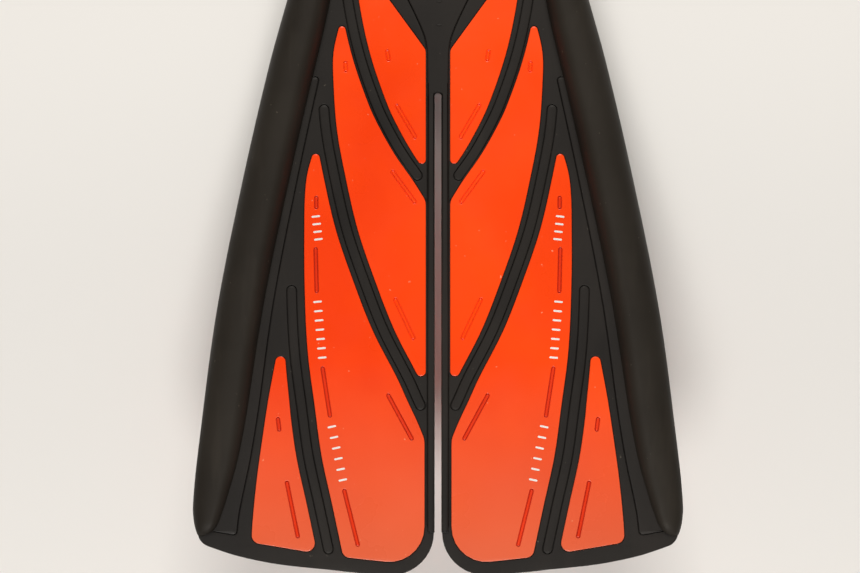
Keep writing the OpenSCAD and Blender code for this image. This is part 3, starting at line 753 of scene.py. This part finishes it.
for side in ("left", "right"):
    addWeb(side)
    addPanels(side)
    addBattens(side)
    addLip(side)
    addFlange(side)
    addRail(side)
    addMarks(side)
addKeel()
print("blade made")


hardParts = {"plasticEdge": 0.5, "steelEdge": 0.2, "flatAngle": 1, "edgeAngle": 18}


def finishNode(name, finish, edge):
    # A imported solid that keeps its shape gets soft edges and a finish
    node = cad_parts[name]
    node.data.materials.clear()
    node.data.materials.append(finish)
    for polygon in node.data.polygons:
        polygon.use_smooth = True
    weld = node.modifiers.new("weld", "WELD")
    weld.merge_threshold = 0.00002
    flats = node.modifiers.new("wholeFaces", "DECIMATE")   # joins the triangles of each flat face
    flats.decimate_type = "DISSOLVE"
    flats.angle_limit = math.radians(hardParts["flatAngle"])
    bevel = node.modifiers.new("softEdge", "BEVEL")
    bevel.width = edge * mm
    bevel.segments = 2
    bevel.limit_method = "ANGLE"
    bevel.angle_limit = math.radians(hardParts["edgeAngle"])
    bevel.harden_normals = True
    even = node.modifiers.new("evenShade", "WEIGHTED_NORMAL")
    even.weight = 100


for name in ("sole_plate", "left_side_arm", "right_side_arm", "left_buckle_frame", "right_buckle_frame",
             "left_tension_lever", "right_tension_lever"):
    finishNode(name, hardBlack, hardParts["plasticEdge"])
for name in ("left_strap_post", "right_strap_post", "post_screws", "lever_pins", "lever_springs"):
    finishNode(name, steel, hardParts["steelEdge"])
print("hard parts finished")

# The pocket's half width and rise are shares of its width and height, at millimetres from the toe
pocket = {
    "halfWidth": [[0, 0.2], [5, 0.44], [15, 0.66], [30, 0.84], [50, 0.94], [80, 1], [120, 0.98],
                  [160, 0.92], [200, 0.86], [240, 0.8], [270, 0.74]],
    "rise": [[0, 0.14], [10, 0.28], [25, 0.42], [50, 0.6], [90, 0.8], [130, 0.96], [160, 1], [270, 1]],
    "width": 100,
    "height": 84,
    "wall": 4,
    "length": 265,
    "power": 2.6,
    "mouth": [(436, 112), (450, 60), (478, 33.2), (575, 29)],
    "heelRound": 15,
    "rimRadius": 2.9,
    "stations": 190,
    "around": 84,
    "toeShare": 0.03,      # share of the stations that round the toe's end
    "inside": (400, 40),   # a place in its room, from the tip and up
    "instepRibs": {"first": 342, "pitch": 12.5, "count": 7, "width": 2.6, "height": 1.1, "reach": 0.72,
                   "bow": 16, "narrowing": 0.025, "fadeRate": 26},
    "sideRidge": {"angle": 0.5, "width": 0.05, "height": 1.3, "from": 318, "to": 450},
}
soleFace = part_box("sole_plate")[1].z / mm
heelEnd = blade["toe"] + pocket["length"]


def bell(x):
    return math.exp(-x * x)


def pocketHalf(y):
    return pocket["width"] / 2 * along(pocket["halfWidth"], y - blade["toe"])


def pocketPoint(y, turn, out=0.0):
    half = pocketHalf(y) + out
    top = pocket["height"] * along(pocket["rise"], y - blade["toe"]) + out
    c, s = math.cos(turn), math.sin(turn)
    power = 2 / pocket["power"]
    return Vector((half * math.copysign(abs(c) ** power, c), y, soleFace + top * abs(s) ** power))


def bezier(points, t):
    a, b, c, d = points
    u = 1 - t
    return a * u ** 3 + b * (3 * u * u * t) + c * (3 * u * t * t) + d * t ** 3


def mouthHeight(y):
    # The height of the mouth's edge, down a smooth curve and round the end of the heel
    places, heights = zip(*pocket["mouth"])
    if y <= places[0]:
        return 1000   # nothing is cut off in front of the mouth
    low, high = 0.0, 1.0
    for _ in range(24):
        t = (low + high) / 2
        low, high = (t, high) if bezier(places, t) < y else (low, t)
    r = pocket["heelRound"]
    d = max(0, y - (heelEnd - r)) / r
    return soleFace + (bezier(heights, t) - soleFace) * math.sqrt(max(0, 1 - d * d))


def mouthPlace(turn):
    low, high = pocket["mouth"][0][0], heelEnd
    for _ in range(24):
        y = (low + high) / 2
        if pocketPoint(y, turn).z < mouthHeight(y):
            low = y
        else:
            high = y
    return low


def pocketRelief(y, turn):
    # Raised ribs across the instep and one ridge along each side
    ribs, ridge = pocket["instepRibs"], pocket["sideRidge"]
    side = abs(turn - math.pi / 2)
    out = 0.0
    for n in range(ribs["count"]):
        place = ribs["first"] + ribs["pitch"] * n - ribs["bow"] * side * side
        fade = 1 / (1 + math.exp((side - ribs["reach"] + ribs["narrowing"] * n) * ribs["fadeRate"]))
        out = max(out, ribs["height"] * fade * bell((y - place) / ribs["width"]) ** 0.8)
    edge = min(turn, math.pi - turn)
    fade = max(0, min(1, (y - ridge["from"]) / 20, (ridge["to"] - y) / 30))
    return out + ridge["height"] * fade * bell((edge - ridge["angle"]) / ridge["width"])


def addPocket():
    ends = {}
    share = pocket["toeShare"]

    def place(u, v):
        turn = math.pi * v
        if v not in ends:
            ends[v] = mouthPlace(turn)
        cap = min(1, u / share)
        y = blade["toe"] + (ends[v] - blade["toe"]) * max(0, u - share) / (1 - share)
        point = pocketPoint(y, turn, pocketRelief(y, turn) - 0.02)
        if cap < 1:
            swell = math.sin(cap * math.pi / 2)
            point.x *= swell
            point.z = soleFace + (point.z - soleFace) * swell
        return point

    bm = gridBm(pocket["stations"], pocket["around"], place, closed=False)
    faceAwayFrom(bm, Vector((0, *pocket["inside"])))
    bmesh.ops.solidify(bm, geom=bm.verts[:] + bm.edges[:] + bm.faces[:], thickness=pocket["wall"])
    rim = [pocketPoint(mouthPlace(math.pi * v), math.pi * v, -pocket["wall"] / 2)
           for v in steps(0.012, 0.988, 120)]
    joinBm(bm, tubeBm(rim, pocket["rimRadius"]))
    addRidingPiece(bm, "footPocket", pocketRubber, "foot", "pocket_upper", even=False, angle=60)


def soleLoop(inset, first, last, count=60):
    right = [Vector((max(1, pocketHalf(y) - inset), y)) for y in steps(first, last, count)]
    return bothSides(right)


toeBlock = {"end": 332, "top": 18.5, "rim": 1.4, "gap": 0.3, "ribs": (0.28, 0.52, 0.76), "ribWidth": 1.6,
            "ribTall": 1.4, "ribProud": 0.8, "ribMargin": 3, "ribStart": 3.5}


def addToeBlock():
    low, high = blade["toe"] + toeBlock["gap"], toeBlock["end"] - toeBlock["gap"]
    margin = toeBlock["ribMargin"]
    inner, outer = pocketHalf(low + margin) + margin, railIn(low) - margin
    ys = steps(low, high, 24)
    lobe = [Vector((min(pocketHalf(y) + 0.3, railIn(y) - 1), y)) for y in reversed(ys)]
    lobe += [Vector((railIn(y) + 0.5, y)) for y in ys]
    tall = toeBlock["top"] - soleFace
    ribMid = toeBlock["top"] + toeBlock["ribProud"] - toeBlock["ribTall"] / 2
    bm = bmesh.new()
    for side in ("left", "right"):
        joinBm(bm, flatBm([lobe], [], side, tall, toeBlock["rim"], soleFace + tall / 2))
        for share in toeBlock["ribs"]:
            a = Vector((inner + (outer - inner) * share, low + toeBlock["ribStart"]))
            reach = [y for y in ys if pocketHalf(y) + margin + 0.4 < a.x]
            if reach and reach[-1] - a.y > 4:
                bar = capsule(a, (a.x, reach[-1]), toeBlock["ribWidth"])
                joinBm(bm, flatBm([bar], [], side, toeBlock["ribTall"], 0.5, ribMid))
    addRidingPiece(bm, "toeBlock", pocketRubber, "foot", "toe_block")


footbed = {"inset": 4.4, "thickness": 3, "studPitch": 6.6, "studRadius": 1.35, "studHeight": 0.75,
           "studTaper": 0.55, "rowShare": 0.87, "drainWidth": 5, "drainRows": (58, 196), "drainReach": 10,
           "drainMargin": (5.2, 15.5)}   # studs stay this far from a drain's middle, across and along


def drainLoops():
    width = pocket["width"] / 5
    reach = footbed["drainReach"]
    return [capsule((x * width, blade["toe"] + y - reach), (x * width, blade["toe"] + y + reach),
                    footbed["drainWidth"]) for x in (-1, 0, 1) for y in footbed["drainRows"]]


def nearDrain(x, y):
    across, lengthways = footbed["drainMargin"]
    return any(abs(x - k * pocket["width"] / 5) < across and abs(y - blade["toe"] - d) < lengthways
               for k in (-1, 0, 1) for d in footbed["drainRows"])


def addFootbed():
    f = footbed
    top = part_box("footbed")[1].z / mm
    bm = flatBm([soleLoop(f["inset"], blade["toe"] + 8, heelEnd - 1)], drainLoops(), "right",
                f["thickness"], 0.7, top - f["thickness"] / 2)
    row = 0
    y = blade["toe"] + 20
    while y < heelEnd - 6:
        x = (row % 2) * f["studPitch"] / 2
        while x < pocketHalf(y) - f["inset"] - 3:
            for sign in (-1, 1) if x else (1,):
                if not nearDrain(sign * x, y):
                    bmesh.ops.create_cone(bm, cap_ends=True, segments=8, radius1=f["studRadius"],
                                          radius2=f["studRadius"] * f["studTaper"], depth=f["studHeight"],
                                          matrix=Matrix.Translation((sign * x, y, top + 0.2)))
            x += f["studPitch"]
        row += 1
        y += f["studPitch"] * f["rowShare"]
    addRidingPiece(bm, "footbedPad", pocketRubber, "foot", "footbed", angle=40)


treads = {
    "ball": (76, 150, 7),    # start and end from the toe, and how far it stays inside the pocket's sides
    "heel": (210, 261, 6),
    "base": 1.5,
    "lugWidth": 5.4,
    "lugPitch": 8,
    "lugSweep": 7,
}


def addTread(name):
    first, last, inset = treads[name]
    first, last = blade["toe"] + first, blade["toe"] + last
    low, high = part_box(name + "_tread")
    tall = (high.z - low.z) / mm
    bm = flatBm([soleLoop(inset, first + 0.5, last - 0.5, 24)], [], "right", treads["base"], 0.5,
                high.z / mm - treads["base"] / 2)
    y = first + treads["lugSweep"] + 1
    half = treads["lugWidth"] / 2
    while y < last - half:
        reach = pocketHalf(y) - inset - 2.5
        back = y - treads["lugSweep"]
        lug = [(0, y + half), (-reach, back + half), (-reach, back - half), (0, y - half),
               (reach, back - half), (reach, back + half)]
        lug = [Vector((p[0], max(first + 1, min(last - 1, p[1])))) for p in lug]
        joinBm(bm, flatBm([lug], [], "right", tall - treads["base"] + 0.2, 0.5,
                          low.z / mm + (tall - treads["base"] + 0.2) / 2))
        y += treads["lugPitch"]
    addRidingPiece(bm, name + "Tread", pocketRubber, "foot", name + "_tread")


# The strap is one band from tail to tail, round the buckles' bars and behind the heel
strap = {
    "height": 45,
    "width": 25,
    "thickness": 3,
    "barX": 59.99,
    "barY": 479,
    "leg": 4.3,
    "knee": 25,
    "heelRadius": 45,
    "heelCentre": 561,
    "tail": 48,
    "toothPitch": 4,
    "teeth": (20, 44),
    "toothHeight": 0.75,
    "bead": 0.7,
    "beadsFrom": 508,
    "edgeBeads": 0.34,   # place of the two outer beads, as a share of the width
}


def strapPath():
    # Right half from the end of the tail to the middle of the heel, as [point, way along the tail]
    s = strap
    tail = Vector((s["barX"] + s["leg"], s["barY"]))
    out = [(tail + Vector((0, s["tail"] - d)), s["tail"] - d) for d in steps(0, s["tail"], 96)]
    out += [(p, -1) for p in arc(s["barX"], s["barY"], s["leg"], 0, -math.pi, 18)[1:]]
    reach = Vector((0, s["knee"]))
    knee = Vector((s["barX"] - s["leg"], s["barY"])) + reach
    end = Vector((s["heelRadius"], s["heelCentre"]))
    out += [(bezier([knee, knee + reach, end - reach, end], t), -1) for t in steps(0, 1, 40)[1:]]
    return out + [(p, -1) for p in arc(0, s["heelCentre"], s["heelRadius"], 0, math.pi / 2, 30)[1:]]


def bandSection(width, thickness, count=44):
    # Closed outline of a band as (across, deep): flat faces and round edges
    r = thickness / 2
    flat = width / 2 - r
    turns = steps(0, math.pi, 8)[1:-1]
    section = [(-flat + 2 * flat * t, r) for t in steps(0, 1, count)]
    section += [(flat + r * math.sin(a), r * math.cos(a)) for a in turns]
    section += [(flat - 2 * flat * t, -r) for t in steps(0, 1, count)]
    return section + [(-flat - r * math.sin(a), -r * math.cos(a)) for a in turns]


def addStrap():
    s = strap
    half = strapPath()
    path = half + [(Vector((-p.x, p.y)), tail) for p, tail in reversed(half[:-1])]
    count = len(path)
    ways = [(path[min(count - 1, i + 1)][0] - path[max(0, i - 1)][0]).normalized() for i in range(count)]
    section = bandSection(s["width"], s["thickness"])

    def place(u, v):
        i = round(u * (count - 1))
        point, tail = path[i]
        across, deep = section[round(v * len(section)) % len(section)]
        flatPart = abs(across) < s["width"] / 2 - s["thickness"] / 2
        if tail < 0 and deep > 0 and flatPart:
            behind = max(0, min(1, (point.y - s["beadsFrom"]) / 15))
            beads = bell((abs(across) - s["width"] * s["edgeBeads"]) / 1.1) + bell(across / 2.2)
            deep += s["bead"] * behind * beads
        if s["teeth"][0] - 2 <= tail <= s["teeth"][1] + 2 and deep < 0 and flatPart:
            wave = max(0, math.cos(2 * math.pi * (tail - s["teeth"][0]) / s["toothPitch"]))
            deep -= s["toothHeight"] * wave ** 0.7 * min(1, (s["width"] / 2 - abs(across) - 1.5) / 0.8)
        if tail >= 0:
            end = min(1, (s["tail"] - tail) / 1.5)
            deep *= 0.55 + 0.45 * math.sqrt(1 - (1 - end) ** 2)
        side = point + Vector((ways[i].y, -ways[i].x)) * deep
        return Vector((side.x, side.y, s["height"] + across))

    addRidingPiece(gridBm(count - 1, len(section), place), "heelStrap", pocketRubber, "strap", "heel_strap",
                   even=False, angle=50)


heelPad = {"outer": 43.3, "thickness": 4, "height": 33, "from": 21, "ribs": 6, "ribDepth": 0.8}


def addHeelPad():
    h = heelPad
    section = bandSection(h["height"], h["thickness"], 72)

    def place(u, v):
        turn = math.radians(h["from"] + (180 - 2 * h["from"]) * u)
        across, deep = section[round(v * len(section)) % len(section)]
        ends = math.sqrt(max(0.02, 1 - (2 * u - 1) ** 6))
        if deep > 0:
            share = across / (h["height"] - h["thickness"]) + 0.5
            deep -= h["ribDepth"] * (0.5 - 0.5 * math.cos(2 * math.pi * h["ribs"] * share)) * ends
        r = h["outer"] - h["thickness"] / 2 - deep * ends
        return Vector((r * math.cos(turn), strap["heelCentre"] + r * math.sin(turn),
                       strap["height"] + across * (0.84 + 0.16 * ends)))

    piece = addRidingPiece(gridBm(90, len(section), place), "heelPad", pocketRubber, "strap", "heel_pad",
                           even=False, angle=50)


leverGrip = {"from": (74.75, 508), "to": (78.1, 521.4), "count": 5, "radius": 0.75, "height": 10.6}


def addLeverGrips(side):
    g = leverGrip
    sign = -1 if side == "left" else 1
    bm = bmesh.new()
    for n in range(g["count"]):
        spot = Vector(g["from"]).lerp(Vector(g["to"]), n / (g["count"] - 1))
        ends = [(sign * spot.x, spot.y, strap["height"] + z) for z in (-g["height"], g["height"])]
        joinBm(bm, tubeBm(ends, g["radius"]))
    piece = addPiece(bm, side + "LeverGrips", hardBlack, "hard_black")
    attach(piece, side + "_lever")


pullTab = {"holeRadius": 11, "band": 5, "thickness": 4, "foot": 32.5, "holeHeight": 70.5, "corner": 4,
           "gripBars": 5, "barPitch": 4.6, "barMargin": 5, "barWidth": 2}


def addPullTab():
    t = pullTab
    outerRadius = t["holeRadius"] + t["band"]
    top = arc(0, t["holeHeight"], outerRadius, 0, math.pi, 28)
    corner = t["corner"]
    low = []
    for cx, begin in ((-outerRadius + corner, math.pi), (outerRadius - corner, 1.5 * math.pi)):
        low += arc(cx, t["foot"] + corner, corner, begin, begin + math.pi / 2, 6)
    hole = arc(0, t["holeHeight"], t["holeRadius"], 0, 2 * math.pi, 56)[:-1]
    bm = flatBm([top + low], [hole], "right", t["thickness"], 1.1, 0)
    for n in range(t["gripBars"]):
        z = t["foot"] + t["barMargin"] + n * t["barPitch"]
        reach = outerRadius - t["barMargin"]
        bar = capsule((-reach, z), (reach, z), t["barWidth"])
        joinBm(bm, flatBm([bar], [], "right", 1.2, 0.45, -t["thickness"] / 2))
    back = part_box("pull_tab")[1].y / mm - tipY / mm
    turn = Matrix.Translation((0, back - t["thickness"] / 2, 0)) @ Matrix.Rotation(math.pi / 2, 4, "X")
    bmesh.ops.transform(bm, verts=bm.verts, matrix=turn)
    addRidingPiece(bm, "pullTab", pocketRubber, "strap", "pull_tab")


addPocket()
addToeBlock()
addFootbed()
addTread("ball")
addTread("heel")
addStrap()
addHeelPad()
addPullTab()
addLeverGrips("left")
addLeverGrips("right")
print("foot part made")

studio = {"floor": (0.78, 0.775, 0.765), "floorShown": (0.87, 0.85, 0.81), "world": 0.16,
          "floorReach": 6000, "floorFade": (0.8, 1.6), "fallStart": 262, "fallLength": 302, "fall": 78,
          "sensor": 36, "cameraHeight": 883.5, "cameraX": -3.76, "cameraFromTip": 135.6, "frameWidth": 404}


def addFloor():
    # Level under the foot pocket, and falling gently away under the blades, which bend down into that room
    def place(u, v):
        y = studio["floorReach"] * (2 * v - 1) ** 3
        t = max(0, min(1, (studio["fallStart"] - (y - tipY / mm)) / studio["fallLength"]))
        return Vector(((2 * u - 1) * studio["floorReach"], y, -studio["fall"] * t * t * (3 - 2 * t)))

    bm = gridBm(2, 600, place, closed=False)
    bmesh.ops.transform(bm, verts=bm.verts, matrix=Matrix.Scale(mm, 4))
    faceAwayFrom(bm, Vector((0, 0, -studio["floorReach"])))
    mesh = bpy.data.meshes.new("floor")
    bm.to_mesh(mesh)
    bm.free()
    mesh.shade_smooth()
    floor = bpy.data.objects.new("floor", mesh)
    floor.location.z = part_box("ball_tread")[0].z - 0.0005
    scene.collection.objects.link(floor)
    f = Finish("floorPaper")
    f.into("Base Color", f.mix(f.noise(3, 3), studio["floor"], tuple(c * 0.97 for c in studio["floor"])))
    f.shader.inputs["Roughness"].default_value = 0.9
    far = f.nodes.new("ShaderNodeVectorMath")
    far.operation = "LENGTH"
    f.links.new(f.place, far.inputs[0])
    seen = f.nodes.new("ShaderNodeMath")
    seen.operation = "MULTIPLY"
    f.links.new(f.spread(far.outputs["Value"], *studio["floorFade"]), seen.inputs[0])
    f.links.new(f.nodes.new("ShaderNodeLightPath").outputs["Is Camera Ray"], seen.inputs[1])
    plain = f.nodes.new("ShaderNodeEmission")
    plain.inputs["Color"].default_value = (*studio["floorShown"], 1)
    joined = f.nodes.new("ShaderNodeMixShader")
    f.links.new(seen.outputs["Value"], joined.inputs[0])
    f.links.new(f.shader.outputs["BSDF"], joined.inputs[1])
    f.links.new(plain.outputs["Emission"], joined.inputs[2])
    f.links.new(joined.outputs["Shader"], f.nodes["Material Output"].inputs["Surface"])
    floor.data.materials.append(f.material)


lamps = {
    "beyondToe": {"place": (0.05, 1.45, 1.7), "aim": (0, 0, 0), "size": (1, 1), "power": 38,
                  "color": (1, 0.95, 0.88)},
    "beforeTip": {"place": (-0.1, -1.5, 1.5), "aim": (0, -0.1, 0), "size": (1.1, 1), "power": 29,
                  "color": (1, 0.96, 0.91)},
}


def addLamp(name, place, aim, size, power, color):
    data = bpy.data.lights.new(name, "AREA")
    data.shape = "RECTANGLE"
    data.size, data.size_y = size
    data.energy = power
    data.color = color
    lamp = bpy.data.objects.new(name, data)
    scene.collection.objects.link(lamp)
    lamp.location = place
    lamp.rotation_euler = (Vector(aim) - Vector(place)).to_track_quat("-Z", "Y").to_euler()


def addWorld():
    # Soft light from all round, with the floor's own colour where the camera sees past the floor
    world = bpy.data.worlds.new("studio")
    scene.world = world
    world.use_nodes = True
    nodes, links = world.node_tree.nodes, world.node_tree.links
    light, shown = nodes["Background"], nodes.new("ShaderNodeBackground")
    light.inputs["Color"].default_value = (1, 0.97, 0.93, 1)
    light.inputs["Strength"].default_value = studio["world"]
    shown.inputs["Color"].default_value = (*studio["floorShown"], 1)
    joined = nodes.new("ShaderNodeMixShader")
    links.new(nodes.new("ShaderNodeLightPath").outputs["Is Camera Ray"], joined.inputs[0])
    links.new(light.outputs["Background"], joined.inputs[1])
    links.new(shown.outputs["Background"], joined.inputs[2])
    links.new(joined.outputs["Shader"], nodes["World Output"].inputs["Surface"])


def addCamera():
    data = bpy.data.cameras.new("camera")
    data.sensor_width = studio["sensor"]
    data.lens = studio["sensor"] * studio["cameraHeight"] / studio["frameWidth"]
    camera = bpy.data.objects.new("camera", data)
    scene.collection.objects.link(camera)
    camera.location = at(studio["cameraX"], studio["cameraFromTip"], webFace + studio["cameraHeight"])
    data.clip_start = 0.01
    scene.camera = camera


addFloor()
for name, lamp in lamps.items():
    addLamp(name, **lamp)
addWorld()
addCamera()
scene.view_settings.view_transform = "Standard"
print("studio made")
